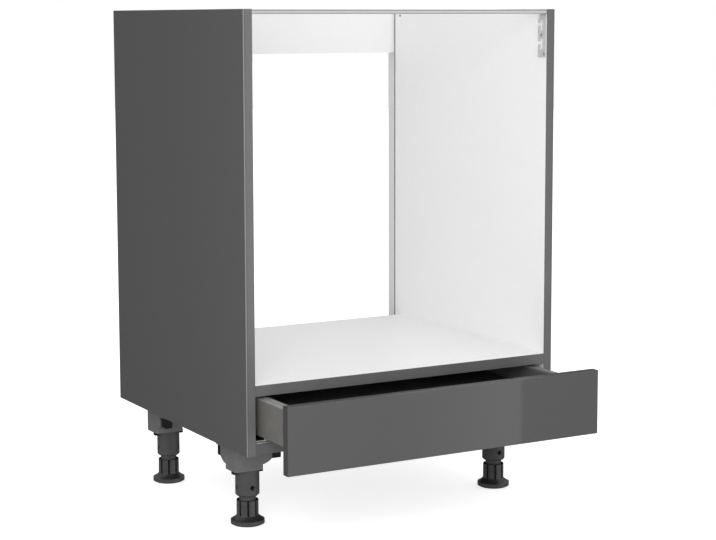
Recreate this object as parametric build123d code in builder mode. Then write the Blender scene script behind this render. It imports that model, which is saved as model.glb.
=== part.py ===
from build123d import *
from math import cos, radians, sin
import os

# A 60 cm base unit that houses a built-under oven. X runs from left to right, Y from
# the front to the rear and Z up. The origin is on the floor, under the middle of the
# unit with its drawer standing open. Left pieces are modelled and mirrored to the right.

# Carcass
width = 600.0
carcass_height = 720.0
carcass_depth = 540.0
side_thick = 16.0
board_thick = 18.0
band_thick = 1.0
bottom_rise = 2.0
shelf_height = 98.0
shelf_setback = 45.0
groove_setback = 23.0
groove_width = 4.0
groove_depth = 8.0
rail_height = 82.0
rail_thick = 16.0
board_edge_round = 0.6

# Legs
plinth_height = 142.0
leg_from_side = 51.0
leg_from_end = 105.0

# Drawer
drawer_open = 122.0
front_side_gap = 2.0
front_height = 110.0
front_thick = 16.0
front_gap = 2.0
front_drop = 1.5
drawer_length = 478.0
drawer_side_gap = 10.0
drawer_side_width = 16.0
drawer_side_top = 94.0
drawer_side_bottom = 31.0
drawer_sheet = 1.2
drawer_board = 16.0
drawer_back_drop = 2.0

# Main planes that follow from the sizes above
x_out = width / 2
x_in = x_out - side_thick
front_out = drawer_open + front_gap + front_thick
y_front = (front_out - carcass_depth) / 2
y_rear = y_front + carcass_depth
y_groove = y_rear - groove_setback
z_side = plinth_height
z_top = z_side + carcass_height
z_bottom = z_side + bottom_rise
z_bottom_top = z_bottom + board_thick
z_shelf = z_side + shelf_height
z_shelf_top = z_shelf + board_thick
z_rail = z_top - rail_height
y_shelf_rear = y_rear - shelf_setback
y_bottom_rear = y_groove - groove_width
y_drawer_face = y_front - front_out
y_drawer = y_drawer_face + front_thick

os.makedirs("parts", exist_ok=True)


def keep(piece, name):
    """Label a finished piece and write it under its own name."""
    piece.label = name
    export_step(piece, f"parts/{name}.step")


def block(x, y, z, mode=Mode.ADD):
    """A box between two places on each axis, inside the current builder."""
    centre = [(low + high) / 2 for low, high in (x, y, z)]
    size = [high - low for low, high in (x, y, z)]
    with Locations(tuple(centre)):
        Box(*size, mode=mode)


def mirrored(piece, about=Plane.YZ):
    """The same piece on the other side of a plane."""
    with BuildPart() as twin:
        mirror(piece, about=about)
    return twin.part


def keep_pair(piece, name):
    """Write a left piece and its mirror image on the right."""
    keep(piece, f"{name}_left")
    keep(mirrored(piece), f"{name}_right")


# Knock-down fittings: a cam in the board pulls the bolt that is screwed into the side
cam_radius = 7.5
cam_depth = 12.5
cam_from_end = 24.0
cam_recess = 1.0
bolt_radius = 3.2
bolt_thread_radius = 2.5
bolt_thread = 10.5
bolt_neck_radius = 2.0
bolt_head = 3.0
dowel_radius = 4.0
dowel_half = 14.0
hole_clearance = 0.1
fitting_from_edge = 60.0
fitting_pitch = 32.0

board_cam_ends = [
    (y_front + fitting_from_edge, z_bottom + board_thick / 2),
    (y_bottom_rear - fitting_from_edge, z_bottom + board_thick / 2),
    (y_front + fitting_from_edge, z_shelf + board_thick / 2),
    (y_shelf_rear - fitting_from_edge, z_shelf + board_thick / 2),
]
board_dowels = [
    (y_front + fitting_from_edge + fitting_pitch, z_bottom + board_thick / 2),
    (y_bottom_rear - fitting_from_edge - fitting_pitch, z_bottom + board_thick / 2),
    (y_front + fitting_from_edge + fitting_pitch, z_shelf + board_thick / 2),
    (y_shelf_rear - fitting_from_edge - fitting_pitch, z_shelf + board_thick / 2),
]
rail_mid = (y_groove + rail_thick / 2, (z_top + z_rail) / 2)
rail_dowel_offset = rail_height / 2 - fitting_pitch / 2
rail_dowels = [
    (rail_mid[0], rail_mid[1] - rail_dowel_offset),
    (rail_mid[0], rail_mid[1] + rail_dowel_offset),
]
side_bolts = board_cam_ends + [rail_mid]
side_dowels = board_dowels + rail_dowels


def bores_x(x, points, radius, depth):
    """Round holes along X, from the plane at x, at (y, z) places."""
    with BuildSketch(Plane.YZ.offset(x)) as mouths:
        with Locations(points):
            Circle(radius)
    extrude(mouths.sketch, amount=depth, mode=Mode.SUBTRACT)


def end_bores(points_bolt, points_dowel):
    """Holes in both end faces of a board for its cam bolts and dowels."""
    reach = cam_from_end
    for end in (-1, 1):
        bores_x(end * x_in, points_bolt, bolt_radius + hole_clearance, -end * reach)
        bores_x(end * x_in, points_dowel, dowel_radius + hole_clearance, -end * dowel_half)


# Runner, seen along Y: the fixed member stands on a foot from the side panel, the middle
# member runs on it and carries the drawer member, with a row of rollers in each gap
steel = 1.2
runner_centre = 18.0
runner_length = 480.0
runner_front = 4.0
runner_foot_z = 23.0
flange_thick = 1.4
flange_height = 30.0
web_half = 0.8
head_half = 3.5
head_z = 32.6
middle_half = 5.0
middle_sheet = 1.0
middle_lip = 2.0
middle_drop = 2.0
roller_radius = 2.5
roller_half = 3.0
roller_play = 0.15
member_gap = 0.5
drawer_leg = 12.0
rail_screw_radius = 2.0
rail_screw_length = 13.0
rail_screw_head = 4.0
rail_screw_dome = 1.3
rail_screw_first = 37.0
rail_screw_steps = 8
rail_screw_last = 40.0
rail_screw_drop = 10.0

head_top = head_z + flange_thick
middle_under = head_top + 2 * (roller_radius + roller_play)
middle_top = middle_under + steel
drawer_under = middle_top + 2 * (roller_radius + roller_play)
runner_top = drawer_under + steel
drawer_half = middle_half + member_gap + middle_sheet

x_runner = -x_in + runner_centre
y_runner = y_front + runner_front
y_rail_screw = y_runner + rail_screw_first
rail_screw_ys = [
    y_rail_screw,
    y_rail_screw + rail_screw_steps * fitting_pitch,
    y_runner + runner_length - rail_screw_last,
]
rail_screw_z = z_side + runner_foot_z + flange_height - rail_screw_drop

# Front traverse and its end brackets
traverse_sheet = 1.2
traverse_depth = 25.0
traverse_lip = 7.0
traverse_below_top = 1.0
traverse_front = 1.0
bracket_sheet = 1.5
bracket_depth = 24.0
bracket_height = 81.0
bracket_cut = 6.0
slot_width = 6.4
slot_from_front = 11.0
slot_run = 19.0
slot_entry = 5.6
slot_entry_up = 2.0
slot_pitch = 32.0
slot_first = 35.5
worktop_hole_radius = 2.5
worktop_hole_spacing = 400.0
bracket_screw_radius = 1.75
bracket_screw_length = 12.0
bracket_screw_head = 3.2
bracket_screw_dome = 1.2
bracket_screw_from_front = 5.0
bracket_screw_from_end = 6.5
bracket_middle_screw_from_front = 14.0
bracket_middle_screw_drop = 42.0

z_traverse = z_top - traverse_below_top
z_bracket_top = z_traverse - traverse_sheet
y_traverse = y_front + traverse_front
bracket_screw_places = [
    (y_traverse + bracket_screw_from_front, z_bracket_top - bracket_screw_from_end),
    (y_traverse + bracket_screw_from_front, z_bracket_top - bracket_height + bracket_screw_from_end),
    (y_traverse + bracket_middle_screw_from_front, z_bracket_top - bracket_middle_screw_drop),
]

# Side panels, with the groove for a back panel and the holes for fittings
peg_hole_radius = 2.5
peg_hole_depth = 10.0
peg_hole_from_groove = 18.0
peg_hole_below_top = 10.0

with BuildPart() as side_panel_left:
    block((-x_out, -x_in), (y_front + band_thick, y_rear), (z_side, z_top))
    vertical = side_panel_left.edges().filter_by(Axis.Z).group_by(Axis.Y)[-1]
    fillet(vertical, board_edge_round)
    block(
        (-x_in - groove_depth, -x_in),
        (y_groove - groove_width, y_groove),
        (z_side, z_top),
        mode=Mode.SUBTRACT,
    )
    bores_x(-x_in, side_bolts, bolt_thread_radius + hole_clearance, -bolt_thread - hole_clearance)
    bores_x(-x_in, side_dowels, dowel_radius + hole_clearance, hole_clearance - dowel_half)
    bores_x(
        -x_in,
        [(y, rail_screw_z) for y in rail_screw_ys],
        rail_screw_radius + hole_clearance,
        -rail_screw_length,
    )
    bores_x(-x_in, bracket_screw_places, bracket_screw_radius + hole_clearance, -bracket_screw_length)
    bores_x(
        -x_in,
        [(y_groove - groove_width - peg_hole_from_groove, z_top - peg_hole_below_top)],
        peg_hole_radius,
        -peg_hole_depth,
    )
keep_pair(side_panel_left.part, "side_panel")

with BuildPart() as side_edge_band_left:
    block((-x_out, -x_in), (y_front, y_front + band_thick), (z_side, z_top))
    upright = side_edge_band_left.edges().filter_by(Axis.Z).group_by(Axis.Y)[0]
    fillet(upright, board_edge_round)
keep_pair(side_edge_band_left.part, "side_edge_band")


# Bottom panel and oven shelf lie between the sides, held from below by cams
def cam_holes(cam_ends, under):
    """Upright holes for the cams, from the underside of a board."""
    with BuildSketch(Plane.XY.offset(under)) as mouths:
        for y, _ in cam_ends:
            with Locations((-x_in + cam_from_end, y), (x_in - cam_from_end, y)):
                Circle(cam_radius + hole_clearance)
    extrude(mouths.sketch, amount=cam_depth + hole_clearance, mode=Mode.SUBTRACT)


def edge_band(under, name):
    """The band on the front edge of a board between the sides."""
    with BuildPart() as band:
        block((-x_in, x_in), (y_front, y_front + band_thick), (under, under + board_thick))
        lengthwise = band.edges().filter_by(Axis.X).group_by(Axis.Y)[0]
        fillet(lengthwise, board_edge_round)
    keep(band.part, name)


# Legs: plan sizes from the leg's axis, heights from the floor or down from the panel
socket_side = 32.0
socket_front = 20.5
socket_inward = 21.5
socket_rear = 20.5
socket_corner = 5.0
socket_depth = 49.0
socket_wall = 2.5
socket_rib = 2.0
plate_thick = 3.0
arm_reach = 59.0
arm_width = 41.0
arm_skirt = 14.0
gusset_reach = 37.0
gusset_foot = 31.0
gusset_top = 40.5
gusset_bow = 30.0
dowel_block = 21.0
dowel_block_deep = 14.0
dowel_block_low = 33.0
dowel_block_round = 3.0
dowel_pin_radius = 5.0
dowel_pin = 11.0
spigot_radius = 17.5
spigot_drop = 12.0
tube_radius = 20.5
tube_wall = 2.5
tube_lift = 52.5
tube_chamfer = 2.8
tube_floor = 4.0
stem_radius = 14.25
stem_bore = 10.5
stem_end = 12.0
leg_hole_radius = 4.25
leg_hole_lift = 65.0
leg_hole_turns = (180, 270, 42)
lug_reach = 27.5
lug_width = 9.0
lug_height = 7.0
nut_radius = 18.6
nut_bottom = 2.0
nut_top = 42.5
nut_flutes = 8
flute_radius = 2.0
flute_depth = 1.1
mouth_wall = 2.0
mouth_depth = 6.0
thread_clearance = 0.35
skirt_radius = 28.75
skirt_rim_top = 8.5
skirt_top = 16.0
pad_radius = 26.0
pad_thick = 5.0
pad_round = 1.0
pad_gap = 0.3
socket_screw_radius = 2.0
socket_screw_length = 14.0
socket_screw_head = 4.0
socket_screw_dome = 1.5
socket_screw_out = 34.0
socket_screw_in = 8.0

leg_places = {
    "front_left": (-1, -1),
    "front_right": (1, -1),
    "rear_left": (-1, 1),
    "rear_right": (1, 1),
}
x_leg = x_out - leg_from_side
y_leg = {-1: y_front + leg_from_end, 1: y_rear - leg_from_end}

# Where the arms' dowels and the plate's screws sit, from the leg's axis
block_across = -socket_side + socket_wall + pad_gap + dowel_block_deep / 2
block_front = -socket_front + socket_wall + pad_gap + dowel_block_deep / 2
block_along = arm_reach - socket_wall - pad_gap - dowel_block / 2
dowel_pins = [(block_across, block_along), (block_along, block_front)]
socket_screw_spots = [(socket_screw_in, socket_screw_out), (socket_screw_out, socket_screw_in)]


def at_legs(spots):
    """Places under the bottom panel that belong to spots round a leg's axis."""
    places = []
    for across, along in leg_places.values():
        for u, v in spots:
            places.append((across * (x_leg - u), y_leg[along] - along * v))
    return places


with BuildPart() as bottom_panel:
    block((-x_in, x_in), (y_front + band_thick, y_bottom_rear), (z_bottom, z_bottom_top))
    cam_holes(board_cam_ends[:2], z_bottom)
    end_bores(board_cam_ends[:2], board_dowels[:2])
    with BuildSketch(Plane.XY.offset(z_bottom)):
        with Locations(at_legs(dowel_pins)):
            Circle(dowel_pin_radius + hole_clearance)
    extrude(amount=dowel_pin + hole_clearance, mode=Mode.SUBTRACT)
    with BuildSketch(Plane.XY.offset(z_bottom)):
        with Locations(at_legs(socket_screw_spots)):
            Circle(socket_screw_radius + hole_clearance)
    extrude(amount=socket_screw_length, mode=Mode.SUBTRACT)
keep(bottom_panel.part, "bottom_panel")
edge_band(z_bottom, "bottom_edge_band")

with BuildPart() as oven_shelf:
    block((-x_in, x_in), (y_front + band_thick, y_shelf_rear), (z_shelf, z_shelf_top))
    cam_holes(board_cam_ends[2:], z_shelf)
    end_bores(board_cam_ends[2:], board_dowels[2:])
keep(oven_shelf.part, "oven_shelf")
edge_band(z_shelf, "shelf_edge_band")

# Rear rail, upright behind the niche, with its cams in the rear face
y_rail_rear = y_groove + rail_thick

with BuildPart() as rear_rail:
    block((-x_in, x_in), (y_groove, y_rail_rear), (z_rail, z_top))
    with BuildSketch(Plane.XZ.offset(-y_rail_rear)):
        with Locations((-x_in + cam_from_end, rail_mid[1]), (x_in - cam_from_end, rail_mid[1])):
            Circle(cam_radius + hole_clearance)
    extrude(amount=cam_depth + hole_clearance, mode=Mode.SUBTRACT)
    end_bores([rail_mid], rail_dowels)
keep(rear_rail.part, "rear_rail")

# Cam: a short drum, open on the bolt's side, with a cross recess in its face
def cam(slot_height):
    """A cam drawn with its face on the plane z = 0 and its bolt coming in from -X."""
    slot_half = bolt_radius + hole_clearance
    with BuildPart() as drum:
        Cylinder(cam_radius, cam_depth, align=(Align.CENTER, Align.CENTER, Align.MIN))
        block(
            (-cam_radius, bolt_head),
            (-slot_half, slot_half),
            (slot_height - slot_half, slot_height + slot_half),
            mode=Mode.SUBTRACT,
        )
        with BuildSketch():
            Rectangle(cam_radius, cam_recess)
            Rectangle(cam_recess, cam_radius)
        extrude(amount=cam_recess, mode=Mode.SUBTRACT)
    return drum.part


board_cam = cam(board_thick / 2)
rail_cam = cam(rail_thick / 2)

with BuildPart() as cam_housings:
    for side in (-1, 1):
        x_cam = side * (x_in - cam_from_end)
        for y, z in board_cam_ends:
            face = Plane(origin=(x_cam, y, z - board_thick / 2), x_dir=(-side, 0, 0), z_dir=(0, 0, 1))
            with Locations(face.location):
                add(board_cam)
        face = Plane(origin=(x_cam, y_rail_rear, rail_mid[1]), x_dir=(-side, 0, 0), z_dir=(0, -1, 0))
        with Locations(face.location):
            add(rail_cam)
keep(cam_housings.part, "cam_housings")

# Cam bolt, drawn along Z from the side panel's thread to the head inside the cam
with BuildPart() as cam_bolt:
    with BuildSketch(Plane.XZ):
        with BuildLine():
            Polyline(
                (0, -bolt_thread),
                (bolt_thread_radius, -bolt_thread),
                (bolt_thread_radius, 0),
                (bolt_radius, 0),
                (bolt_radius, cam_from_end - cam_radius - bolt_head),
                (bolt_neck_radius, cam_from_end - cam_radius - bolt_head),
                (bolt_neck_radius, cam_from_end - bolt_head / 2),
                (bolt_radius, cam_from_end - bolt_head / 2),
                (bolt_radius, cam_from_end + bolt_head / 2),
                (0, cam_from_end + bolt_head / 2),
                close=True,
            )
        make_face()
    revolve(axis=Axis.Z)

with BuildPart() as dowel:
    Cylinder(dowel_radius, 2 * (dowel_half - hole_clearance))
    chamfer(dowel.edges().filter_by(GeomType.CIRCLE), 1.0)

with BuildPart() as cam_bolts:
    for y, z in side_bolts:
        with Locations(Location((-x_in, y, z), (0, 90, 0))):
            add(cam_bolt.part)
        with Locations(Location((x_in, y, z), (0, -90, 0))):
            add(cam_bolt.part)
keep(cam_bolts.part, "cam_bolts")

with BuildPart() as panel_dowels:
    for y, z in side_dowels:
        with Locations(Location((-x_in, y, z), (0, 90, 0)), Location((x_in, y, z), (0, 90, 0))):
            add(dowel.part)
keep(panel_dowels.part, "panel_dowels")


def screw(shank_radius, length, head_radius, dome):
    """A round-headed screw that points down, its head seated on the plane z = 0."""
    with BuildPart() as body:
        with BuildSketch(Plane.XZ):
            with BuildLine():
                Polyline(
                    (head_radius, 0),
                    (shank_radius, 0),
                    (shank_radius, shank_radius - length),
                    (0, -length),
                    (0, dome),
                )
                ThreePointArc((0, dome), (head_radius * 0.7, dome * 0.7), (head_radius, 0))
            make_face()
        revolve(axis=Axis.Z)
        with BuildSketch(Plane.XY.offset(dome)):
            Rectangle(head_radius, dome * 0.4)
            Rectangle(dome * 0.4, head_radius)
        extrude(amount=-dome * 0.6, mode=Mode.SUBTRACT)
    return body.part


def screws_x(body, x, points):
    """Screws with their heads towards the middle, in both sides of the unit."""
    with BuildPart() as group:
        for y, z in points:
            with Locations(Location((-x, y, z), (0, 90, 0))):
                add(body)
            with Locations(Location((x, y, z), (0, -90, 0))):
                add(body)
    return group.part


# Front traverse: a sheet channel open downward, with holes for the worktop's screws
with BuildPart() as front_traverse:
    block(
        (-x_in, x_in),
        (y_traverse, y_traverse + traverse_depth),
        (z_traverse - traverse_lip, z_traverse),
    )
    front_top = front_traverse.edges().filter_by(Axis.X).group_by(Axis.Z)[-1]
    fillet(front_top, traverse_sheet)
    block(
        (-x_in, x_in),
        (y_traverse + traverse_sheet, y_traverse + traverse_depth - traverse_sheet),
        (z_traverse - traverse_lip, z_traverse - traverse_sheet),
        mode=Mode.SUBTRACT,
    )
    with BuildSketch(Plane.XY.offset(z_traverse)):
        with Locations((0, y_traverse + traverse_depth / 2)):
            with GridLocations(worktop_hole_spacing, 1, 2, 1):
                Circle(worktop_hole_radius)
    extrude(amount=-traverse_sheet, mode=Mode.SUBTRACT)
keep(front_traverse.part, "front_traverse")

# Traverse bracket: a slim upright plate with two hook slots that open to the rear
y_bracket = y_traverse + traverse_sheet
bracket_free = bracket_depth - traverse_sheet
z_slots = [z_bracket_top - slot_first + slot_run / 2 + lift for lift in (0, -slot_pitch)]
y_slot = y_bracket + slot_from_front - traverse_sheet

with BuildPart() as traverse_bracket_left:
    with BuildSketch(Plane.YZ.offset(-x_in)):
        with BuildLine():
            Polyline(
                (y_bracket, z_bracket_top - bracket_height),
                (y_bracket + bracket_free, z_bracket_top - bracket_height),
                (y_bracket + bracket_free, z_bracket_top - 3 * bracket_cut),
                (y_bracket + bracket_free - bracket_cut, z_bracket_top - traverse_lip),
                (y_bracket + bracket_free - bracket_cut, z_bracket_top),
                (y_bracket, z_bracket_top),
                close=True,
            )
        make_face()
        for z_slot in z_slots:
            with Locations((y_slot + slot_width / 2, z_slot)):
                RectangleRounded(slot_width, slot_run, 1.0, mode=Mode.SUBTRACT)
            with Locations((y_slot + slot_width / 2, z_slot + slot_entry_up)):
                Rectangle(
                    bracket_depth,
                    slot_entry,
                    align=(Align.MIN, Align.CENTER),
                    mode=Mode.SUBTRACT,
                )
        with Locations(bracket_screw_places):
            Circle(bracket_screw_radius + hole_clearance, mode=Mode.SUBTRACT)
    extrude(amount=bracket_sheet)
keep_pair(traverse_bracket_left.part, "traverse_bracket")

bracket_screw = screw(bracket_screw_radius, bracket_screw_length, bracket_screw_head, bracket_screw_dome)
keep(screws_x(bracket_screw, x_in - bracket_sheet, bracket_screw_places), "bracket_screws")

# Cabinet rail: flange on the side panel, foot, upright web and the head that is run on
with BuildPart() as cabinet_rail_left:
    with BuildSketch(Plane.XZ.offset(-y_runner)):
        foot = (z_side + runner_foot_z, z_side + runner_foot_z + flange_thick)
        with BuildLine():
            Polyline(
                (-x_in, foot[0]),
                (x_runner + head_half, foot[0]),
                (x_runner + head_half, foot[1]),
                (x_runner + web_half, foot[1]),
                (x_runner + web_half, z_side + head_z),
                (x_runner + head_half, z_side + head_z),
                (x_runner + head_half, z_side + head_top),
                (x_runner - head_half, z_side + head_top),
                (x_runner - head_half, z_side + head_z),
                (x_runner - web_half, z_side + head_z),
                (x_runner - web_half, foot[1]),
                (-x_in + flange_thick, foot[1]),
                (-x_in + flange_thick, foot[0] + flange_height),
                (-x_in, foot[0] + flange_height),
                close=True,
            )
        make_face()
    extrude(amount=-runner_length)
    bores_x(
        -x_in,
        [(y, rail_screw_z) for y in rail_screw_ys],
        rail_screw_radius + hole_clearance,
        flange_thick,
    )
keep_pair(cabinet_rail_left.part, "cabinet_rail")

rail_screw = screw(rail_screw_radius, rail_screw_length, rail_screw_head, rail_screw_dome)
keep(
    screws_x(rail_screw, x_in - flange_thick, [(y, rail_screw_z) for y in rail_screw_ys]),
    "rail_screws",
)

# Middle rail: a channel over the head, its lips hooked under it
middle_at = y_runner - drawer_open / 2
middle_foot = z_side + head_z - middle_drop

with BuildPart() as middle_rail_left:
    with BuildSketch(Plane.XZ.offset(-middle_at)):
        with Locations((x_runner, middle_foot)):
            Rectangle(
                2 * middle_half,
                z_side + middle_top - middle_foot,
                align=(Align.CENTER, Align.MIN),
            )
        inner_width = 2 * (middle_half - middle_sheet)
        with Locations((x_runner, middle_foot + middle_sheet)):
            Rectangle(
                inner_width,
                z_side + middle_under - middle_foot - middle_sheet,
                align=(Align.CENTER, Align.MIN),
                mode=Mode.SUBTRACT,
            )
        with Locations((x_runner, middle_foot)):
            Rectangle(
                inner_width - 2 * middle_lip,
                middle_sheet,
                align=(Align.CENTER, Align.MIN),
                mode=Mode.SUBTRACT,
            )
    extrude(amount=-runner_length)
keep_pair(middle_rail_left.part, "middle_rail")

# Drawer rail: an open channel under the drawer's bottom board
with BuildPart() as drawer_rail_left:
    with BuildSketch(Plane.XZ.offset(-y_drawer)):
        with Locations((x_runner, z_side + runner_top)):
            Rectangle(2 * drawer_half, drawer_leg, align=(Align.CENTER, Align.MAX))
        with Locations((x_runner, z_side + drawer_under)):
            Rectangle(
                2 * (drawer_half - middle_sheet),
                drawer_leg,
                align=(Align.CENTER, Align.MAX),
                mode=Mode.SUBTRACT,
            )
    extrude(amount=-drawer_length)
keep_pair(drawer_rail_left.part, "drawer_rail")

# Roller cages: a slotted strip with its rollers, one row in each gap of the runner
cage_rollers = 5
cage_pitch = 40.0
cage_thick = 1.6
cage_half = 3.7
cage_end = 12.0
slot_play = 0.3
cage_length = (cage_rollers - 1) * cage_pitch + 2 * cage_end
cage_closed = y_runner + (runner_length - cage_length) / 2


def roller_cage(track, share):
    """A cage on the track at a height, which follows the drawer by a share of its way."""
    middle = cage_closed + cage_length / 2 - share * drawer_open
    centre = z_side + track + roller_play + roller_radius
    with BuildPart() as cage:
        with Locations((x_runner, middle, centre)):
            Box(2 * cage_half, cage_length, cage_thick)
            with GridLocations(1, cage_pitch, 1, cage_rollers):
                Box(
                    2 * (roller_half + slot_play),
                    2 * (roller_radius + slot_play),
                    cage_thick,
                    mode=Mode.SUBTRACT,
                )
        with Locations((x_runner, middle, centre)):
            with GridLocations(1, cage_pitch, 1, cage_rollers):
                Cylinder(roller_radius, 2 * roller_half, rotation=(0, 90, 0))
    return cage.part


keep_pair(roller_cage(head_top, 0.25), "lower_cage")
keep_pair(roller_cage(middle_top, 0.75), "upper_cage")

# Drawer sides: folded sheet with a smooth outer wall, a stepped top and a short inner wall
z_board = z_side + runner_top
z_board_top = z_board + drawer_board
z_drawer_top = z_side + drawer_side_top
x_wall = -x_in + drawer_side_gap
x_inner = x_wall + drawer_side_width
top_step = 0.8
top_step_at = 9.0
top_bevel = 2.0

with BuildPart() as drawer_side_left:
    with BuildSketch(Plane.XZ.offset(-y_drawer)):
        with BuildLine():
            Polyline(
                (x_wall, z_side + drawer_side_bottom),
                (x_wall, z_drawer_top - top_step - top_bevel),
                (x_wall + top_bevel, z_drawer_top - top_step),
                (x_wall + top_step_at, z_drawer_top - top_step),
                (x_wall + top_step_at + top_step, z_drawer_top),
                (x_inner, z_drawer_top),
                (x_inner, z_board_top),
                (x_inner - drawer_sheet, z_board_top),
                (x_inner - drawer_sheet, z_drawer_top - drawer_sheet),
                (x_wall + top_step_at + top_step, z_drawer_top - drawer_sheet),
                (x_wall + top_step_at, z_drawer_top - top_step - drawer_sheet),
                (x_wall + top_bevel, z_drawer_top - top_step - drawer_sheet),
                (x_wall + drawer_sheet, z_drawer_top - top_step - top_bevel),
                (x_wall + drawer_sheet, z_side + drawer_side_bottom),
                close=True,
            )
        make_face()
    extrude(amount=-drawer_length)
keep_pair(drawer_side_left.part, "drawer_side")

# Drawer bottom lies on the rails between the outer walls, and carries the back
with BuildPart() as drawer_bottom:
    block(
        (x_wall + drawer_sheet, -x_wall - drawer_sheet),
        (y_drawer, y_drawer + drawer_length),
        (z_board, z_board_top),
    )
keep(drawer_bottom.part, "drawer_bottom")

z_back_top = z_drawer_top - drawer_back_drop
y_back = y_drawer + drawer_length - drawer_board

angle_sheet = 1.5
angle_leg = 22.0
angle_inset = 2.0
angle_height = z_back_top - z_board_top - 2 * angle_inset
angle_screw_radius = 1.75
angle_screw_length = 11.0
angle_screw_head = 3.2
angle_screw_dome = 1.2
angle_screw_low = z_board_top + angle_inset + 6.0
angle_screw_high = z_board_top + angle_inset + angle_height - 6.0
angle_screw_x = x_inner + angle_sheet + angle_leg / 2
angle_screw_spots = [
    (x, z)
    for x in (angle_screw_x, -angle_screw_x)
    for z in (angle_screw_low, angle_screw_high)
]

with BuildPart() as drawer_back:
    block((x_inner, -x_inner), (y_back, y_back + drawer_board), (z_board_top, z_back_top))
    with BuildSketch(Plane.XZ.offset(-y_back)):
        with Locations(angle_screw_spots):
            Circle(angle_screw_radius + hole_clearance)
    extrude(amount=-angle_screw_length, mode=Mode.SUBTRACT)
keep(drawer_back.part, "drawer_back")

# Drawer front, a plain glossy slab with no handle
z_front = z_side - front_drop

with BuildPart() as drawer_front:
    block(
        (front_side_gap - x_out, x_out - front_side_gap),
        (y_drawer_face, y_drawer),
        (z_front, z_front + front_height),
    )
    fillet(drawer_front.faces().sort_by(Axis.Y)[0].edges(), board_edge_round)
    with BuildSketch(Plane.XZ.offset(-y_drawer)):
        with Locations(angle_screw_spots):
            Circle(angle_screw_radius + hole_clearance)
    extrude(amount=angle_screw_length, mode=Mode.SUBTRACT)
keep(drawer_front.part, "drawer_front")


# Corner angles that tie the sides to the front and to the back
def corner_angle(y_plate, inward):
    """An angle on the left side's inner wall; inward is the way its leg runs along Y."""
    with BuildPart() as angle:
        plate = sorted((y_plate, y_plate + inward * angle_sheet))
        leg = sorted((y_plate, y_plate + inward * angle_leg))
        heights = (z_board_top + angle_inset, z_board_top + angle_inset + angle_height)
        block((x_inner, x_inner + angle_sheet + angle_leg), plate, heights)
        block((x_inner, x_inner + angle_sheet), leg, heights)
        with BuildSketch(Plane.XZ.offset(-plate[0])) as mouths:
            with Locations(angle_screw_spots[:2]):
                Circle(angle_screw_radius + hole_clearance)
        extrude(mouths.sketch, amount=-angle_sheet, mode=Mode.SUBTRACT)
    return angle.part


keep_pair(corner_angle(y_drawer, 1), "front_bracket")
keep_pair(corner_angle(y_back, -1), "back_bracket")

angle_screw = screw(angle_screw_radius, angle_screw_length, angle_screw_head, angle_screw_dome)

with BuildPart() as drawer_screws:
    for x, z in angle_screw_spots:
        with Locations(Location((x, y_drawer + angle_sheet, z), (-90, 0, 0))):
            add(angle_screw)
        with Locations(Location((x, y_back - angle_sheet, z), (90, 0, 0))):
            add(angle_screw)
keep(drawer_screws.part, "drawer_screws")

# Soft bumpers on the front's rear face, which meet the front edges of the sides
bumper_radius = 4.0
bumper_thick = 1.7
bumper_below_top = 14.0

with BuildPart() as front_bumpers:
    for side in (-1, 1):
        with BuildSketch(Plane.XZ.offset(-y_drawer)):
            with Locations((side * (x_out - side_thick / 2), z_front + front_height - bumper_below_top)):
                Circle(bumper_radius)
        extrude(amount=-bumper_thick)
keep(front_bumpers.part, "front_bumpers")


# Leg socket, drawn round the leg's axis with its top on the plane z = 0
def gusset(plane, start):
    """A web from the tower out along an arm, its lower edge a hollow curve."""
    with BuildPart() as web:
        with BuildSketch(plane):
            with BuildLine():
                Line((start, -gusset_top), (start, -plate_thick))
                Line((start, -plate_thick), (gusset_reach, -plate_thick))
                Line((gusset_reach, -plate_thick), (gusset_reach, -gusset_foot))
                RadiusArc((gusset_reach, -gusset_foot), (start, -gusset_top), gusset_bow)
            make_face()
        extrude(amount=-socket_wall)
    return web.part


tower_size = (socket_side + socket_inward, socket_front + socket_rear)
tower_centre = ((socket_inward - socket_side) / 2, (socket_rear - socket_front) / 2)
sleeve_radius = spigot_radius + hole_clearance

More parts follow.
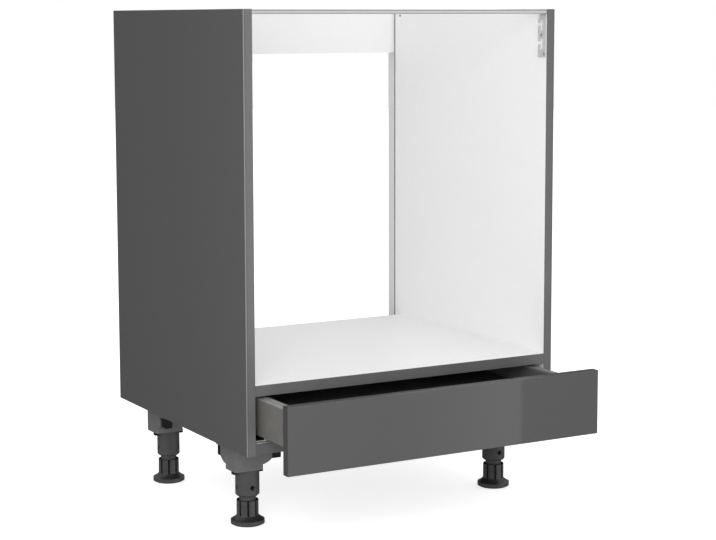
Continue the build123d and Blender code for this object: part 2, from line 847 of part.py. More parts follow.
with BuildPart() as leg_socket:
    with BuildSketch(Plane.XY.offset(-arm_skirt)) as plate:
        with BuildLine():
            Polyline(
                (-socket_side, -socket_front),
                (arm_reach, -socket_front),
                (arm_reach, arm_width - socket_front),
                (arm_width - socket_side, arm_reach),
                (-socket_side, arm_reach),
                close=True,
            )
        make_face()
        fillet(sorted(vertices(), key=lambda v: v.X + v.Y)[1:], socket_corner)
    extrude(amount=arm_skirt)
    with BuildSketch(Plane.XY.offset(-arm_skirt)):
        add(plate.sketch)
        offset(amount=-socket_wall)
    extrude(amount=arm_skirt - plate_thick, mode=Mode.SUBTRACT)
    with BuildSketch(Plane.XY.offset(-socket_depth)) as tower:
        with Locations(tower_centre):
            Rectangle(*tower_size)
        fillet(sorted(vertices(), key=lambda v: v.X + v.Y)[1:], socket_corner)
    extrude(amount=socket_depth)
    with BuildSketch(Plane.XY.offset(-socket_depth)):
        add(tower.sketch)
        offset(amount=-socket_wall)
    extrude(amount=socket_depth - plate_thick, mode=Mode.SUBTRACT)
    with BuildSketch(Plane.XY.offset(-socket_depth)):
        Circle(sleeve_radius + socket_wall)
        with Locations(((sleeve_radius - socket_side) / 2, 0)):
            Rectangle(socket_side - sleeve_radius, socket_rib)
    extrude(amount=socket_depth - plate_thick)
    with BuildSketch(Plane.XY.offset(-arm_skirt)):
        Rectangle(arm_reach, socket_rib, align=(Align.MIN, Align.CENTER))
        Rectangle(socket_rib, arm_reach, align=(Align.CENTER, Align.MIN))
    extrude(amount=arm_skirt)
    add(gusset(Plane.XZ.offset(socket_front), socket_inward - socket_corner))
    add(gusset(Plane.YZ.offset(socket_wall - socket_side), socket_rear - socket_corner))
    with BuildSketch(Plane.XY.offset(-socket_depth)):
        Circle(sleeve_radius)
    extrude(amount=socket_depth - spigot_drop + hole_clearance, mode=Mode.SUBTRACT)
    with BuildSketch(Plane.XY):
        with Locations(dowel_pins):
            Circle(dowel_pin_radius + hole_clearance)
    extrude(amount=-plate_thick, mode=Mode.SUBTRACT)
    with BuildSketch(Plane.XY):
        with Locations(socket_screw_spots):
            Circle(socket_screw_radius + hole_clearance)
    extrude(amount=-plate_thick, mode=Mode.SUBTRACT)

# Dowel block: a rounded foot under the arm, with a pin that is pressed into the panel
with BuildPart() as dowel_block_solid:
    Box(
        dowel_block_deep,
        dowel_block,
        dowel_block_low - plate_thick,
        align=(Align.CENTER, Align.CENTER, Align.MIN),
    )
    fillet(dowel_block_solid.edges().filter_by(Axis.Z), dowel_block_round)
    fillet(dowel_block_solid.faces().sort_by(Axis.Z)[0].edges(), dowel_block_round / 2)
    with BuildSketch(Plane.XY.offset(dowel_block_low - plate_thick)):
        Circle(dowel_pin_radius)
    extrude(amount=plate_thick + dowel_pin)

socket_screw = screw(socket_screw_radius, socket_screw_length, socket_screw_head, socket_screw_dome)

with BuildPart() as socket_fixings:
    with Locations(Location((block_across, block_along, -dowel_block_low))):
        add(dowel_block_solid.part)
    with Locations(Location((block_along, block_front, -dowel_block_low), (0, 0, 90))):
        add(dowel_block_solid.part)

with BuildPart() as socket_pair_screws:
    for x, y in socket_screw_spots:
        with Locations(Location((x, y, -plate_thick), (180, 0, 0))):
            add(socket_screw)

# Leg tube: a spigot in the socket, two bayonet lugs, the tube and the stem in one piece
tube_top = z_bottom - socket_depth
spigot_top = z_bottom - spigot_drop
stem_top = tube_lift - tube_chamfer

with BuildPart() as leg_tube:
    with BuildSketch(Plane.XZ):
        with BuildLine():
            Polyline(
                (0, spigot_top),
                (spigot_radius, spigot_top),
                (spigot_radius, tube_top),
                (tube_radius, tube_top),
                (tube_radius, tube_lift),
                (tube_radius - tube_chamfer, stem_top),
                (stem_radius, stem_top),
                (stem_radius, stem_end),
                (stem_bore, stem_end),
                (stem_bore, tube_lift + tube_floor),
                (0, tube_lift + tube_floor),
                close=True,
            )
        make_face()
    revolve(axis=Axis.Z)
    with BuildSketch(Plane.XY.offset(spigot_top)):
        Circle(spigot_radius - tube_wall)
    extrude(amount=tube_lift + 2 * tube_floor - spigot_top, mode=Mode.SUBTRACT)
    with BuildSketch(Plane.XY.offset(tube_top)):
        with PolarLocations((tube_radius + lug_reach) / 2 - tube_wall / 2, 2):
            Rectangle(lug_reach - tube_radius + tube_wall, lug_width)
    extrude(amount=-lug_height)
    for turn in leg_hole_turns:
        hole_way = Vector(cos(radians(turn)), sin(radians(turn)), 0)
        with BuildSketch(Plane(origin=(0, 0, leg_hole_lift), z_dir=hole_way)):
            Circle(leg_hole_radius)
        extrude(amount=tube_radius, mode=Mode.SUBTRACT)

# Adjuster nut: fluted body that turns on the stem, with a skirt that flares to the pad
nut_bore = stem_radius + thread_clearance
mouth_radius = nut_radius - mouth_wall

with BuildPart() as adjuster_nut:
    with BuildSketch(Plane.XZ):
        with BuildLine():
            Polyline(
                (skirt_radius, skirt_rim_top),
                (skirt_radius, nut_bottom),
                (pad_radius + pad_gap, nut_bottom),
                (pad_radius + pad_gap, pad_thick + pad_gap),
                (nut_bore, pad_thick + pad_gap),
                (nut_bore, nut_top - mouth_depth),
                (mouth_radius, nut_top - mouth_depth),
                (mouth_radius, nut_top),
                (nut_radius, nut_top),
                (nut_radius, skirt_top),
            )
            RadiusArc((nut_radius, skirt_top), (skirt_radius, skirt_rim_top), -skirt_radius)
        make_face()
    revolve(axis=Axis.Z)
    chamfer(adjuster_nut.edges().filter_by(GeomType.CIRCLE).group_by(Axis.Z)[-1].sort_by(Axis.X), 0.5)
    with BuildSketch(Plane.XY.offset(nut_top)):
        with PolarLocations(nut_radius + flute_radius - flute_depth, nut_flutes, start_angle=22.5):
            Circle(flute_radius)
    extrude(amount=skirt_top - nut_top, mode=Mode.SUBTRACT)

# Foot pad: a round disc under the nut, which the nut turns on
with BuildPart() as foot_pad:
    Cylinder(pad_radius, pad_thick, align=(Align.CENTER, Align.CENTER, Align.MIN))
    chamfer(foot_pad.edges().filter_by(GeomType.CIRCLE), pad_round)


def on_leg(body, across, along, height):
    """A piece drawn for the front left leg, turned over and set on another leg."""
    if across > 0:
        body = mirrored(body)
    if along > 0:
        body = mirrored(body, Plane.XZ)
    with BuildPart() as placed:
        with Locations((across * x_leg, y_leg[along], height)):
            add(body)
    return placed.part


for place, (across, along) in leg_places.items():
    keep(on_leg(leg_socket.part, across, along, z_bottom), f"leg_socket_{place}")
    keep(on_leg(leg_tube.part, across, along, 0), f"leg_tube_{place}")
    keep(on_leg(adjuster_nut.part, across, along, 0), f"adjuster_nut_{place}")
    keep(on_leg(foot_pad.part, across, along, 0), f"foot_pad_{place}")

with BuildPart() as socket_dowels:
    for across, along in leg_places.values():
        add(on_leg(socket_fixings.part, across, along, z_bottom))
keep(socket_dowels.part, "socket_dowels")

with BuildPart() as socket_screws:
    for across, along in leg_places.values():
        add(on_leg(socket_pair_screws.part, across, along, z_bottom))
keep(socket_screws.part, "socket_screws")
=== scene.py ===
from math import pi, radians

import bpy
from mathutils import Matrix, Vector


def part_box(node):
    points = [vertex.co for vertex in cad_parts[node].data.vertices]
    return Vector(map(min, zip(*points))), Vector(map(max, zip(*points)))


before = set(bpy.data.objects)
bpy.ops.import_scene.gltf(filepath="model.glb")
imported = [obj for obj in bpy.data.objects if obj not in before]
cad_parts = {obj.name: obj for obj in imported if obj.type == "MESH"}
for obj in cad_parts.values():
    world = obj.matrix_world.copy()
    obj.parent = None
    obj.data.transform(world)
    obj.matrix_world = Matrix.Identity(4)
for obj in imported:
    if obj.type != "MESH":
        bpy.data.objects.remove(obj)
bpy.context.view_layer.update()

# Planes of the unit, read from the frame, in metres
SIDE_LOW, SIDE_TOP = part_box("side_panel_left")
X_OUT = -SIDE_LOW.x
X_IN = -SIDE_TOP.x
Y_REAR = SIDE_TOP.y
BOTTOM_LOW, BOTTOM_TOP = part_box("bottom_panel")
SHELF_LOW, SHELF_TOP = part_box("oven_shelf")
RAIL_LOW, RAIL_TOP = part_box("rear_rail")
TRAVERSE_LOW, TRAVERSE_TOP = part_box("front_traverse")
FRONT_LOW, FRONT_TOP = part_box("drawer_front")
DRAWER_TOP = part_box("drawer_side_left")[1]
LEG_LOW, LEG_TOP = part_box("leg_tube_front_left")
REAR_LEG_LOW, REAR_LEG_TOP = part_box("leg_tube_rear_left")
NUT_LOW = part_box("adjuster_nut_front_left")[0]

# Depths and radii of the zones that differ in tone, in metres
FACING = 0.0003
ROUNDED_EDGE = 0.0007
REAR_SHADE_STRIP = 0.0228
HIGHLIGHT_CORNER = 0.0016
BAND_LINE_DEPTH = 0.0032
LACQUER = 0.0012
DRAWER_SHEET = 0.0012
DRAWER_LIT_STRIP = 0.0031
TRAVERSE_SHADED_BEND = 0.0019
TRAVERSE_FACE = 0.002
TRAVERSE_LOW_LINE = 0.0018
LUG_INNER_RADIUS = 0.0212
FLUTE_OUTER_RADIUS = 0.01852
SLOPE_BOTTOM = 0.0068
SLOPE_TOP = 0.0135

# Levels from 0 to 255 that the surfaces show under the plain lights
ANTHRACITE = (78, 85)
WHITE = (227, 234)
# Painted shade: a darker white for the strip behind the back panel's groove
SHADED_WHITE = (206, 213)
DRAWER_BOARD = (74, 82)
EDGE_BAND = (92, 97)
# Painted shade: the bottom panel's band is darker, for the open drawer front's shadow
SHADED_LOW_BAND = (78, 84)
BAND_LINE_TONE = 82
# Painted highlight on the outer corner of the sides' band
HIGHLIGHT_TONE = 122
RAW_CORE = ((70, 52, 36), (126, 98, 68), (206, 178, 138))
# Chipboard core, darkened and greyed as painted shade for the groove and holes
SHADED_CORE = ((62, 58, 54), (104, 99, 93), (138, 132, 124))

DULL_SPECULAR = 0.12
MATT = 0.8
NOISE_STRETCH = (0.3, 0.7)


def tone(levels):
    """The linear colour that shows one level, or a red, a green and a blue one, on a screen."""
    linear = []
    for level in levels if isinstance(levels, tuple) else (levels,) * 3:
        share = level / 255
        linear.append(share / 12.92 if share <= 0.04045 else ((share + 0.055) / 1.055) ** 2.4)
    return (*linear, 1.0)


class Graph:
    """A node tree with small helpers, which take sockets or constants."""

    def __init__(self, tree):
        self.nodes = tree.nodes
        self.links = tree.links

    def feed(self, target, source):
        """Set a socket to a constant, or link another socket to it."""
        if isinstance(source, bpy.types.NodeSocket):
            self.links.new(source, target)
        else:
            target.default_value = source

    def math(self, operation, a, b=0.0):
        """One step of arithmetic."""
        node = self.nodes.new("ShaderNodeMath")
        node.operation = operation
        self.feed(node.inputs[0], a)
        self.feed(node.inputs[1], b)
        return node.outputs["Value"]

    def span(self, value, low, high, to_low=0.0, to_high=1.0):
        """A value's stretch from low to high, mapped to another and held at its ends."""
        node = self.nodes.new("ShaderNodeMapRange")
        self.links.new(value, node.inputs["Value"])
        ends = {"From Min": low, "From Max": high, "To Min": to_low, "To Max": to_high}
        for socket, number in ends.items():
            node.inputs[socket].default_value = number
        return node.outputs["Result"]


class Surface(Graph):
    """A Principled material with small helpers for its procedural nodes."""

    def __init__(self, name, **values):
        self.material = bpy.data.materials.new(name)
        self.material.use_nodes = True
        super().__init__(self.material.node_tree)
        self.shader = self.nodes["Principled BSDF"]
        for socket, value in values.items():
            self.shader.inputs[socket.replace("_", " ")].default_value = value
        self.place = self.nodes.new("ShaderNodeTexCoord").outputs["Object"]
        self.normal = None

    def stretched(self, x, y, z):
        """The place on the object, with each axis scaled."""
        mapping = self.nodes.new("ShaderNodeMapping")
        self.links.new(self.place, mapping.inputs["Vector"])
        mapping.inputs["Scale"].default_value = (x, y, z)
        return mapping.outputs["Vector"]

    def noise(self, scale, detail=2.0, rough=0.5, at=None):
        """Fractal noise from 0 to 1, in features per metre."""
        node = self.nodes.new("ShaderNodeTexNoise")
        self.links.new(at or self.place, node.inputs["Vector"])
        node.inputs["Scale"].default_value = scale
        node.inputs["Detail"].default_value = detail
        node.inputs["Roughness"].default_value = rough
        return node.outputs["Fac"]

    def mottle(self, scale, detail, rough=0.5, low=0.0, high=1.0, at=None):
        """Fractal noise whose usual stretch is mapped from low to high."""
        return self.span(self.noise(scale, detail, rough, at), *NOISE_STRETCH, low, high)

    def cells(self, scale):
        """A random level from 0 to 1 for each chip of a chipboard core."""
        node = self.nodes.new("ShaderNodeTexVoronoi")
        self.links.new(self.place, node.inputs["Vector"])
        node.inputs["Scale"].default_value = scale
        split = self.nodes.new("ShaderNodeSeparateColor")
        self.links.new(node.outputs["Color"], split.inputs["Color"])
        return split.outputs["Red"]

    def axes(self):
        """The X, Y and Z of the place on the object."""
        node = self.nodes.new("ShaderNodeSeparateXYZ")
        self.links.new(self.place, node.inputs["Vector"])
        return node.outputs["X"], node.outputs["Y"], node.outputs["Z"]

    def above(self, value, edge):
        return self.math("GREATER_THAN", value, edge)

    def below(self, value, edge):
        return self.math("LESS_THAN", value, edge)

    def both(self, a, b):
        return self.math("MULTIPLY", a, b)

    def any_of(self, *masks):
        whole = masks[0]
        for mask in masks[1:]:
            whole = self.math("MAXIMUM", whole, mask)
        return whole

    def mix(self, share, low, high):
        """A colour between two colours."""
        node = self.nodes.new("ShaderNodeMix")
        node.data_type = "RGBA"
        self.feed(node.inputs["Factor"], share)
        self.feed(node.inputs["A"], low)
        self.feed(node.inputs["B"], high)
        return node.outputs["Result"]

    def tones(self, share, low, high):
        """A colour between two levels."""
        return self.mix(share, tone(low), tone(high))

    def number(self, share, low, high):
        """A number between two numbers."""
        node = self.nodes.new("ShaderNodeMix")
        self.feed(node.inputs["Factor"], share)
        self.feed(node.inputs["A"], low)
        self.feed(node.inputs["B"], high)
        return node.outputs["Result"]

    def colour(self, source):
        self.feed(self.shader.inputs["Base Color"], source)

    def rough(self, source):
        self.feed(self.shader.inputs["Roughness"], source)

    def bump(self, height, depth, strength):
        """Raise the surface by a height from 0 to 1, whose full depth is in metres."""
        node = self.nodes.new("ShaderNodeBump")
        self.links.new(height, node.inputs["Height"])
        node.inputs["Distance"].default_value = depth
        node.inputs["Strength"].default_value = strength
        if self.normal:
            self.links.new(self.normal, node.inputs["Normal"])
        self.normal = node.outputs["Normal"]
        self.links.new(self.normal, self.shader.inputs["Normal"])


# Boards and their edge bands
def melamine_skin(surface, levels):
    """Printed facing: one tone with a fine speckle."""
    return surface.tones(surface.mottle(420, 4, 0.6), *levels)


def chipboard(surface, gap, dark, light):
    """Pressed chips of many tones, with dark gaps between them."""
    chips = surface.tones(surface.cells(520), dark, light)
    return surface.mix(surface.span(surface.noise(900, 4, 0.7), 0.34, 0.46), tone(gap), chips)


def melamine_grain(surface):
    """The fine pearl of a pressed facing, felt as bump and as gloss."""
    surface.bump(surface.noise(1400, 3, 0.6), 0.00006, 0.35)
    surface.rough(surface.mottle(240, 4, 0.6, low=0.42, high=0.54))


def side_panel_material():
    """White inside, anthracite outside and on the edges; painted shade makes the white strip
    behind the groove darker, and the chipboard core in groove and holes darker and greyer.
    """
    s = Surface("side_melamine", Specular_IOR_Level=DULL_SPECULAR)
    x, y, z = s.axes()
    across = s.math("ABSOLUTE", x)
    outer = s.any_of(
        s.above(across, X_OUT - FACING),
        s.above(y, Y_REAR - ROUNDED_EDGE),
        s.above(z, SIDE_TOP.z - FACING),
        s.below(z, SIDE_LOW.z + FACING),
    )
    # Painted shade: the white strip behind the groove, out to the rear edge, is darker
    behind = s.above(y, Y_REAR - REAR_SHADE_STRIP)
    white = s.mix(behind, melamine_skin(s, WHITE), melamine_skin(s, SHADED_WHITE))
    # The core in the groove and holes is chipboard, darkened and greyed as painted shade
    faced = s.mix(s.below(across, X_IN + FACING), chipboard(s, *SHADED_CORE), white)
    s.colour(s.mix(outer, faced, melamine_skin(s, ANTHRACITE)))
    melamine_grain(s)
    return s.material


def bottom_panel_material():
    """White above, anthracite below, chipboard on the rear edge and in the holes."""
    s = Surface("bottom_melamine", Specular_IOR_Level=DULL_SPECULAR)
    z = s.axes()[2]
    above = s.above(z, BOTTOM_TOP.z - FACING)
    faced = s.mix(above, chipboard(s, *RAW_CORE), melamine_skin(s, WHITE))
    below = s.below(z, BOTTOM_LOW.z + FACING)
    s.colour(s.mix(below, faced, melamine_skin(s, ANTHRACITE)))
    melamine_grain(s)
    return s.material


def shelf_material():
    """White on both faces, chipboard on the rear edge and in the holes."""
    s = Surface("shelf_melamine")
    z = s.axes()[2]
    faces = s.any_of(s.above(z, SHELF_TOP.z - FACING), s.below(z, SHELF_LOW.z + FACING))
    s.colour(s.mix(faces, chipboard(s, *RAW_CORE), melamine_skin(s, WHITE)))
    melamine_grain(s)
    return s.material


def rail_material():
    """White on the faces and banded edges, chipboard in the cams' holes."""
    s = Surface("rail_melamine")
    y, z = s.axes()[1:]
    faces = s.any_of(
        s.below(y, RAIL_LOW.y + FACING),
        s.above(y, RAIL_TOP.y - FACING),
        s.below(z, RAIL_LOW.z + FACING),
        s.above(z, RAIL_TOP.z - FACING),
    )
    s.colour(s.mix(faces, chipboard(s, *RAW_CORE), melamine_skin(s, WHITE)))
    melamine_grain(s)
    return s.material


def drawer_board_material():
    """Dark melamine on the drawer's bottom and back."""
    s = Surface("drawer_melamine")
    s.colour(melamine_skin(s, DRAWER_BOARD))
    melamine_grain(s)
    return s.material


def edge_band_surface(name, levels):
    """Thin plastic band with the marks of its scraper; gives the surface and its colour."""
    s = Surface(name)
    s.rough(s.mottle(400, 3, low=0.34, high=0.46))
    s.bump(s.noise(900, 3, 0.6), 0.00005, 0.3)
    return s, s.tones(s.mottle(14, 3), *levels)


def edge_band_material(name, levels):
    s, colour = edge_band_surface(name, levels)
    s.colour(colour)
    return s.material


def side_band_material():
    """The sides' band, with a painted highlight as a paler outer corner and a fine darker line
    beside it.
    """
    s, colour = edge_band_surface("side_band_plastic", EDGE_BAND)
    across = s.math("ABSOLUTE", s.axes()[0])
    # A fine darker line runs just inward of the band's outer corner
    colour = s.mix(s.above(across, X_OUT - BAND_LINE_DEPTH), colour, tone(BAND_LINE_TONE))
    # Painted highlight: the band's outer corner is paler
    s.colour(s.mix(s.above(across, X_OUT - HIGHLIGHT_CORNER), colour, tone(HIGHLIGHT_TONE)))
    return s.material


def beech_material():
    """Plain beech with its short dark flecks along the grain."""
    s = Surface("beech_dowel")
    grain = s.noise(160, 4, 0.6, at=s.stretched(0.15, 1, 1))
    s.colour(s.tones(s.span(grain, 0.35, 0.65), (176, 128, 82), (214, 172, 122)))
    s.rough(s.span(grain, *NOISE_STRETCH, 0.5, 0.65))
    s.bump(grain, 0.0001, 0.4)
    return s.material


# Drawer and steel
def gloss_front_material():
    """Polished lacquer over very fine pigment on the face, and dull dark edges behind it; the top
    edge is darker still, as painted shade.
    """
    s = Surface("gloss_lacquer", IOR=1.5)
    y, z = s.axes()[1:]
    edge = s.above(y, FRONT_LOW.y + LACQUER)
    # Painted shade: the top edge is darker, against the light from above
    shaded_top_edge = s.both(edge, s.above(z, FRONT_TOP.z - LACQUER))
    pigment = s.span(s.noise(2600, 2), 0.35, 0.65)
    edges = s.mix(shaded_top_edge, s.tones(pigment, 58, 64), s.tones(pigment, 34, 40))
    s.colour(s.mix(edge, s.tones(pigment, 66, 72), edges))
    s.rough(s.number(edge, s.mottle(30, 3, low=0.018, high=0.03), 0.5))
    s.bump(s.noise(45, 2, 0.4), 0.00002, 0.15)
    return s.material


def drawer_steel_material():
    """Fine powder coat on the drawer's sheet sides: warm grey, with painted light as a paler top
    strip and painted shade on the darker inside walls.
    """
    s = Surface("drawer_powder_coat")
    x, _, z = s.axes()
    cloud = s.mottle(60, 3)
    outside = s.tones(cloud, (98, 97, 94), (105, 104, 101))
    # Painted shade: the inside walls are darker and more neutral than the outside
    inside = s.tones(cloud, (92, 92, 91), (99, 99, 98))
    # Painted light: the top strip is paler
    strip = s.tones(cloud, (120, 120, 118), (128, 128, 126))
    inner = s.below(s.math("ABSOLUTE", x), -DRAWER_TOP.x + DRAWER_SHEET)
    wall = s.mix(inner, outside, inside)
    s.colour(s.mix(s.above(z, DRAWER_TOP.z - DRAWER_LIT_STRIP), wall, strip))
    s.rough(s.mottle(700, 2, low=0.32, high=0.44))
    s.bump(s.noise(2600, 2, 0.6), 0.00003, 0.3)
    return s.material


def zinc_surface(name, low, high, metallic=1.0):
    """Bright zinc plating with a faint rolled grain; gives the surface and its colour."""
    s = Surface(name, Metallic=metallic)
    s.rough(s.mottle(60, 3, 0.6, low=0.3, high=0.44, at=s.stretched(1, 30, 30)))
    s.bump(s.noise(1800, 2), 0.00002, 0.2)
    return s, s.tones(s.mottle(160, 4, 0.6), low, high)


def zinc_material():
    s, colour = zinc_surface("zinc_plate", 198, 208)
    s.colour(colour)
    return s.material


def bracket_material():
    """Duller, lighter zinc on the pressed end plates."""
    s, colour = zinc_surface("bracket_zinc", 206, 216, metallic=0.45)
    s.colour(colour)
    return s.material


def traverse_material():
    """Zinc with darker lines along the strip: painted shade on the bent front edge, and a darker
    line along the bottom.
    """
    s, colour = zinc_surface("traverse_zinc", 206, 214)
    y, z = s.axes()[1:]
    front = s.below(y, TRAVERSE_LOW.y + TRAVERSE_FACE)
    # Painted shade: the bent front edge is a darker line
    shaded_bend = s.both(s.above(z, TRAVERSE_TOP.z - TRAVERSE_SHADED_BEND), front)
    colour = s.mix(shaded_bend, colour, tone(150))
    # A darker line along the bottom of the strip
    s.colour(s.mix(s.below(z, TRAVERSE_LOW.z + TRAVERSE_LOW_LINE), colour, tone(172)))
    return s.material


# Plastics of the legs, the cages and the bumpers
def moulded_plastic(name, low, high, rough_low, rough_high):
    """Moulded plastic: slight flow clouds and a fine eroded texture."""
    s = Surface(name)
    s.colour(s.tones(s.mottle(55, 3, 0.55), low, high))
    s.rough(s.mottle(320, 3, low=rough_low, high=rough_high))
    s.bump(s.noise(1100, 3, 0.6), 0.00008, 0.35)
    return s.material


def leg_radius_squared(surface):
    """The square of the distance from the nearest leg's axis."""
    middle = (LEG_LOW.y + REAR_LEG_TOP.y) / 2
    half = (REAR_LEG_LOW.y + REAR_LEG_TOP.y) / 2 - middle
    x, y = surface.axes()[:2]
    across = surface.math("ADD", surface.math("ABSOLUTE", x), (LEG_LOW.x + LEG_TOP.x) / 2)
    along = surface.math("ABSOLUTE", surface.math("SUBTRACT", y, middle))
    along = surface.math("SUBTRACT", along, half)
    squares = (surface.math("MULTIPLY", across, across), surface.math("MULTIPLY", along, along))
    return surface.math("ADD", *squares)


def leg_tube_material():
    """The leg's grey plastic; its two bayonet lugs, which stand out from the tube, are near black
    as painted shade.
    """
    s = Surface("tube_plastic", Specular_IOR_Level=0.3)
    # Painted shade: the lugs are painted near black
    shaded_lug = s.above(leg_radius_squared(s), LUG_INNER_RADIUS ** 2)
    cloud = s.mottle(55, 3, 0.55)
    s.colour(s.mix(shaded_lug, s.tones(cloud, 70, 76), s.tones(cloud, 9, 13)))
    s.rough(s.number(shaded_lug, s.mottle(320, 3, low=0.34, high=0.46), MATT))
    s.bump(s.noise(1100, 3, 0.6), 0.00006, 0.3)
    return s.material


def nut_material():
    """Dark plastic on the adjuster, with painted shade: darker on its skirt's slope and black in
    flutes and mouth.
    """
    s = Surface("nut_plastic", Specular_IOR_Level=0.4)
    z = s.axes()[2]
    # Painted shade: near black inside the flutes' radius, in flutes, mouth and bore
    shaded_hollow = s.below(leg_radius_squared(s), FLUTE_OUTER_RADIUS ** 2)
    # Painted shade: darker on the skirt's slope
    slope = s.both(s.above(z, NUT_LOW.z + SLOPE_BOTTOM), s.below(z, NUT_LOW.z + SLOPE_TOP))
    cloud = s.mottle(180, 3, 0.55)
    body = s.mix(slope, s.tones(cloud, 64, 70), s.tones(cloud, 40, 46))
    s.colour(s.mix(shaded_hollow, body, s.tones(cloud, 8, 12)))
    s.rough(s.number(shaded_hollow, s.mottle(320, 3, low=0.24, high=0.34), MATT))
    s.bump(s.noise(1800, 2, 0.5), 0.00003, 0.2)
    return s.material


def make_materials():
    """The material for each start of a node's name."""
    zinc = zinc_material()
    drawer_board = drawer_board_material()
    roller = moulded_plastic("roller_plastic", (200, 198, 192), (214, 212, 206), 0.4, 0.5)
    cage = moulded_plastic("cage_plastic", (206, 204, 198), (218, 216, 210), 0.4, 0.5)
    bumper = moulded_plastic("bumper", (150, 150, 148), (162, 162, 160), 0.25, 0.35)
    return {
        "side_panel": side_panel_material(),
        "side_edge_band": side_band_material(),
        "bottom_panel": bottom_panel_material(),
        # The bottom panel's band is darker as painted shade
        "bottom_edge_band": edge_band_material("low_band_painted_shade", SHADED_LOW_BAND),
        "oven_shelf": shelf_material(),
        "shelf_edge_band": edge_band_material("edge_band_plastic", EDGE_BAND),
        "rear_rail": rail_material(),
        "front_traverse": traverse_material(),
        "traverse_bracket": bracket_material(),
        "bracket_screws": zinc,
        "cam": zinc,
        "panel_dowels": beech_material(),
        "cabinet_rail": zinc,
        "rail_screws": zinc,
        "middle_rail": zinc,
        "drawer_rail": zinc,
        "lower_cage": cage,
        "upper_cage": roller,
        "drawer_front": gloss_front_material(),
        "drawer_side": drawer_steel_material(),
        "drawer_bottom": drawer_board,
        "drawer_back": drawer_board,
        "front_bracket": zinc,
        "back_bracket": zinc,
        "drawer_screws": zinc,
        "front_bumpers": bumper,
        # The socket dowels' near-black tone is painted shade for the arms' shaded open ends
        "socket_dowels": moulded_plastic("black_plastic", 10, 15, 0.7, 0.8),
        "socket_screws": zinc,
        "leg_socket": moulded_plastic("leg_plastic", 98, 104, 0.4, 0.52),
        "leg_tube": leg_tube_material(),
        "adjuster_nut": nut_material(),
        "foot_pad": moulded_plastic("foot_plastic", 56, 64, 0.26, 0.36),
    }


def dress(materials):
    """Give each CAD node the material that its name starts with."""
    for name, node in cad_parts.items():
        start = max((key for key in materials if name.startswith(key)), key=len)
        node.data.materials.clear()
        node.data.materials.append(materials[start])


# Camera, floor, lamps and the white room
CAMERA_PLACE = (-1.54844, -2.76462, 0.84571)
CAMERA_YAW = radians(29.575)
CAMERA_PITCH = radians(6.816)
CAMERA_ROLL = radians(0.129)
CAMERA_LENS = 90.52
CAMERA_SENSOR = 36.0
CAMERA_SHIFT = -0.05
FLOOR_RADIUS = 14.0
FLOOR_SIDES = 96
FLOOR_Z = -0.0005
FLOOR_COLOUR = 0.7
FLOOR_ROUGHNESS = 0.9
FLOOR_SEEN_GLOW = 0.75


def make_camera():
    camera = bpy.data.objects.new("camera", bpy.data.cameras.new("camera"))
    camera.data.lens = CAMERA_LENS
    camera.data.sensor_width = CAMERA_SENSOR
    camera.data.shift_y = CAMERA_SHIFT
    yaw = Matrix.Rotation(-CAMERA_YAW, 4, "Z")
    pitch = Matrix.Rotation(pi / 2 - CAMERA_PITCH, 4, "X")
    roll = Matrix.Rotation(-CAMERA_ROLL, 4, "Z")
    camera.matrix_world = Matrix.Translation(CAMERA_PLACE) @ yaw @ pitch @ roll
    bpy.context.scene.collection.objects.link(camera)
    bpy.context.scene.camera = camera


def softbox(name, place, aim, width, height, watts):
    """A large soft area lamp that looks at a point."""
    lamp = bpy.data.lights.new(name, "AREA")
    lamp.shape = "RECTANGLE"
    lamp.size = width
    lamp.size_y = height
    lamp.energy = watts
    holder = bpy.data.objects.new(name, lamp)
    holder.location = place
    holder.rotation_mode = "QUATERNION"
    holder.rotation_quaternion = (Vector(place) - Vector(aim)).to_track_quat("Z", "Y")
    holder.visible_glossy = False
    bpy.context.scene.collection.objects.link(holder)


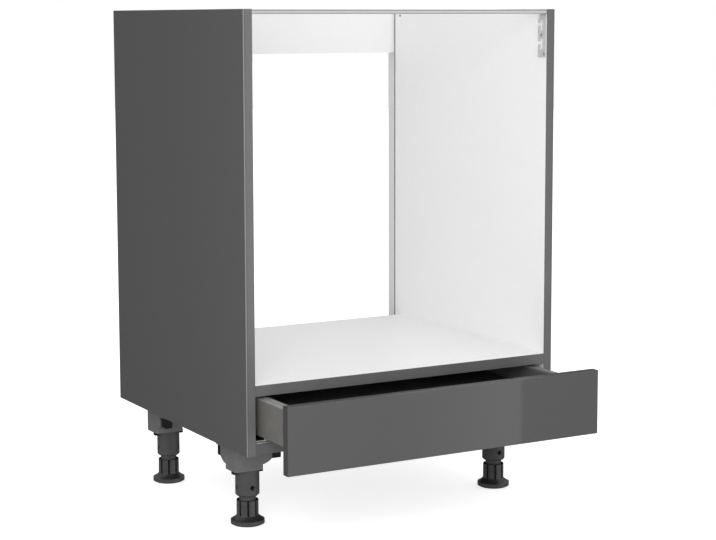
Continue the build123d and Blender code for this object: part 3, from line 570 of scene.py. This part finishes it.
def make_world(fill, room, ceiling, window, panel):
    """A room that is white where it is seen, lights with fill, and is dimmer in gloss.

    What gloss finds is the sum of four parts, each with its strength last or at its ends. The
    room goes from its front strength to its rear one between two values of Y. The ceiling grows
    between two values of Z. The window rises and falls, and the panel inside it rises and ends
    sharply, each over turns from straight ahead to the right, in degrees.
    """
    world = bpy.data.worlds.new("studio")
    bpy.context.scene.world = world
    world.use_nodes = True
    g = Graph(world.node_tree)
    path = g.nodes.new("ShaderNodeLightPath")
    way = g.nodes.new("ShaderNodeSeparateXYZ")
    g.links.new(g.nodes.new("ShaderNodeTexCoord").outputs["Generated"], way.inputs["Vector"])
    x, y, z = (way.outputs[axis] for axis in "XYZ")
    turn = g.math("MULTIPLY", g.math("ARCTAN2", x, g.math("MULTIPLY", y, -1.0)), 180 / pi)

    y_front, y_rear, front, rear = room
    z_low, z_high, overhead = ceiling
    walls = g.span(y, y_front, y_rear, front, rear)
    around = g.math("ADD", walls, g.span(z, z_low, z_high, 0.0, overhead))
    rise_from, rise_to, fall_from, fall_to, daylight = window
    rise = g.span(turn, rise_from, rise_to, 0.0, daylight)
    fall = g.span(turn, fall_from, fall_to, daylight, 0.0)
    panel_from, panel_end, shine = panel
    grown = g.span(turn, panel_from, panel_end, 0.0, shine)
    glow = g.math("MULTIPLY", grown, g.math("LESS_THAN", turn, panel_end))
    bright = g.math("ADD", g.math("MINIMUM", rise, fall), glow)

    glossy = path.outputs["Is Glossy Ray"]
    mirrored = g.math("MULTIPLY", g.math("ADD", around, bright), glossy)
    seen = g.math("MAXIMUM", path.outputs["Is Camera Ray"], path.outputs["Is Transmission Ray"])
    neither = g.math("LESS_THAN", g.math("ADD", seen, glossy), 0.5)
    lit = g.math("MULTIPLY", neither, fill)
    background = g.nodes["Background"]
    strength = g.math("ADD", g.math("MAXIMUM", seen, mirrored), lit)
    g.links.new(strength, background.inputs["Strength"])
    background.inputs["Color"].default_value = (1.0, 1.0, 1.0, 1.0)


def make_floor():
    """A round pale floor that meets the white room, with the unit's soft shadow on it."""
    bpy.ops.mesh.primitive_circle_add(
        vertices=FLOOR_SIDES, radius=FLOOR_RADIUS, fill_type="NGON", location=(0, 0, FLOOR_Z)
    )
    floor = bpy.context.object
    floor.name = "studio_floor"
    material = bpy.data.materials.new("floor_white")
    material.use_nodes = True
    g = Graph(material.node_tree)
    shader = g.nodes["Principled BSDF"]
    shader.inputs["Roughness"].default_value = FLOOR_ROUGHNESS
    shader.inputs["Specular IOR Level"].default_value = 0.0
    shader.inputs["Base Color"].default_value = (FLOOR_COLOUR, FLOOR_COLOUR, FLOOR_COLOUR, 1.0)
    glow = g.nodes.new("ShaderNodeEmission")
    seen = g.nodes.new("ShaderNodeLightPath").outputs["Is Camera Ray"]
    g.links.new(g.math("MULTIPLY", seen, FLOOR_SEEN_GLOW), glow.inputs["Strength"])
    both = g.nodes.new("ShaderNodeAddShader")
    g.links.new(shader.outputs["BSDF"], both.inputs[0])
    g.links.new(glow.outputs["Emission"], both.inputs[1])
    g.links.new(both.outputs["Shader"], g.nodes["Material Output"].inputs["Surface"])
    floor.data.materials.append(material)
    floor.visible_glossy = False


bpy.context.scene.view_settings.view_transform = "Standard"
dress(make_materials())
make_camera()
make_world(
    fill=0.79,
    room=(-0.5, 0.6, 0.35, 0.2),
    ceiling=(0.2, 0.6, 0.6),
    window=(5, 20, 50, 70, 0.65),
    panel=(30.5, 34.85, 0.7),
)
make_floor()
softbox("key", (-1.0, -1.45, 0.8), (-0.2, 0.0, 0.5), 0.7, 1.2, 13)
softbox("left", (-1.5, -1.7, 0.75), (-0.3, -0.3, 0.4), 0.8, 1.4, 7.5)
softbox("top", (0.2, -0.4, 2.9), (0.0, 0.0, 0.4), 2.0, 2.0, 18)
